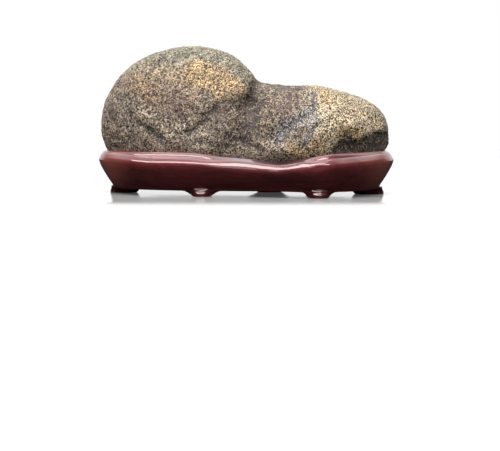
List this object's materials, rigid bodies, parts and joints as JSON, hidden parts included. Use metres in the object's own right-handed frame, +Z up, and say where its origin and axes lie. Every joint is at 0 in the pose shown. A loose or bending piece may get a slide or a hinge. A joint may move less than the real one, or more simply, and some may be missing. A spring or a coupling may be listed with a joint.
{
  "type": "scholars rock on a carved wooden stand",
  "caption": "natural viewing stone with a high round dome and a low swell, resting in the fitted recess of a low lacquered hardwood stand on small carved feet",
  "frame": {"origin": "on the floor, below the middle of the whole part's bounding box", "axes": "+X along the length from the high dome to the low swell, +Y from front to back, +Z up"},
  "size_m": [0.2514, 0.1256, 0.1259],
  "materials": {
    "stone": "matte",
    "lacquered_hardwood": "gloss"
  },
  "bodies": {
    "root": {"stone": "stone", "stand": "lacquered_hardwood"}
  },
  "joints": []
}
